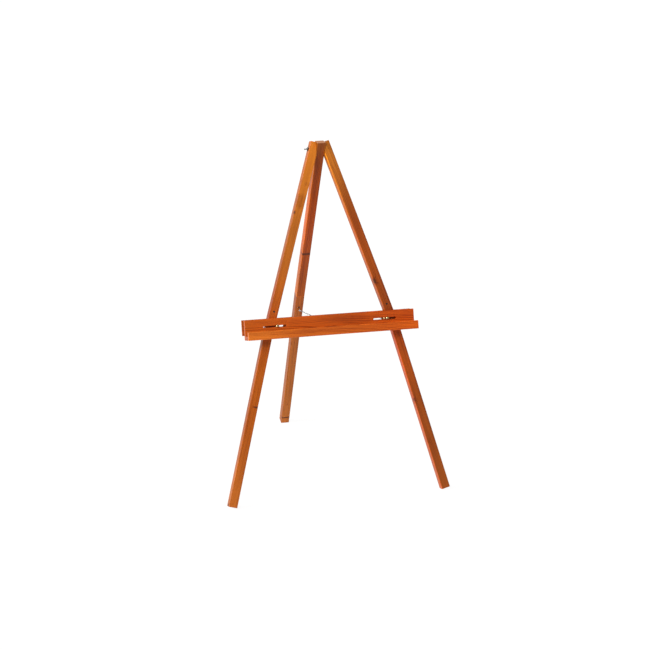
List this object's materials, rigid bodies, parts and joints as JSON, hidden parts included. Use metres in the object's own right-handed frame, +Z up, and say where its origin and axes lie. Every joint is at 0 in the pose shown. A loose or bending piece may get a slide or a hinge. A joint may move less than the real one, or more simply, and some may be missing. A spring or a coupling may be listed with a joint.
{
  "type": "artist easel",
  "caption": "Tall wooden tripod easel: splayed front legs, a rear leg that folds on a pivot bolt with a chain stay, and a lipped tray clamped by bolts in slots.",
  "frame": {"origin": "on the floor at the middle of the footprint's box", "axes": "+Z up, -Y towards the painter's side with the tray, +X to the right seen from the front"},
  "size_m": [1.0034, 0.9908, 1.5046],
  "materials": {
    "leg_pine": "orange-stained knotty pine under satin varnish",
    "rear_leg_pine": "orange-stained pine under satin varnish, a shade darker",
    "tray_pine": "cherry-stained pine under satin varnish",
    "beech_dowel": "plain turned beech",
    "zinc_steel": "bright zinc plate",
    "dark_steel": "dull darkened steel",
    "brass_fitting": "pale brass plate"
  },
  "bodies": {
    "front_frame": {"left_upper_leg": "leg_pine", "right_upper_leg": "leg_pine", "left_lower_leg": "leg_pine", "right_lower_leg": "leg_pine", "left_leg_dowel": "beech_dowel", "right_leg_dowel": "beech_dowel", "left_dowel_screw": "dark_steel", "right_dowel_screw": "dark_steel", "pivot_bolt": "zinc_steel", "pivot_nut": "dark_steel", "pivot_washers": "zinc_steel"},
    "rear_leg": {"rear_upper_leg": "rear_leg_pine", "rear_lower_leg": "rear_leg_pine", "rear_leg_dowel": "beech_dowel", "rear_dowel_screw": "dark_steel", "rear_screw_eye": "zinc_steel", "stay_chain": "zinc_steel"},
    "tray_clamp": {"clamp_batten": "tray_pine", "batten_screw_eye": "zinc_steel", "chain_hook": "zinc_steel"},
    "tray": {"tray_back_board": "tray_pine", "tray_shelf": "tray_pine", "tray_lip": "tray_pine", "shelf_screws": "dark_steel", "lip_dowels": "beech_dowel"},
    "left_clamp": {"left_clamp_bolt": "brass_fitting", "left_clamp_washer": "zinc_steel"},
    "right_clamp": {"right_clamp_bolt": "brass_fitting", "right_clamp_washer": "zinc_steel"},
    "left_wing": {"left_wing_nut": "brass_fitting"},
    "right_wing": {"right_wing_nut": "brass_fitting"}
  },
  "joints": [
    {"name": "rear_leg_fold", "type": "hinge", "parent": "front_frame", "child": "rear_leg", "pos_m": [0, -0.04134, 1.467], "axis": [1, 0, 0], "range_deg": [-32, 0], "deforming": ["stay_chain"]},
    {"name": "tray_height", "type": "slide", "parent": "front_frame", "child": "tray_clamp", "axis": [0, 0.3074, 0.9516], "range_m": [0, 0.09]},
    {"name": "tray_shift", "type": "slide", "parent": "tray_clamp", "child": "tray", "axis": [1, 0, 0], "range_m": [-0.008, 0.03]},
    {"name": "left_bolt_travel", "type": "slide", "parent": "front_frame", "child": "left_clamp", "axis": [0.3074, 0.2925, 0.9055], "range_m": [0, 0.0956]},
    {"name": "right_bolt_travel", "type": "slide", "parent": "front_frame", "child": "right_clamp", "axis": [-0.3074, 0.2925, 0.9055], "range_m": [0, 0.0956]},
    {"name": "left_wing_turn", "type": "hinge", "parent": "left_clamp", "child": "left_wing", "pos_m": [-0.2475, -0.24377, 0.7394], "axis": [0, 0.9516, -0.3074], "range_deg": [0, 630]},
    {"name": "right_wing_turn", "type": "hinge", "parent": "right_clamp", "child": "right_wing", "pos_m": [0.2475, -0.24377, 0.7394], "axis": [0, 0.9516, -0.3074], "range_deg": [0, 630]}
  ],
  "couplings": [
    {"joint": "left_bolt_travel", "follows": "tray_height", "ratio": 1.0509},
    {"joint": "right_bolt_travel", "follows": "tray_height", "ratio": 1.0509}
  ]
}
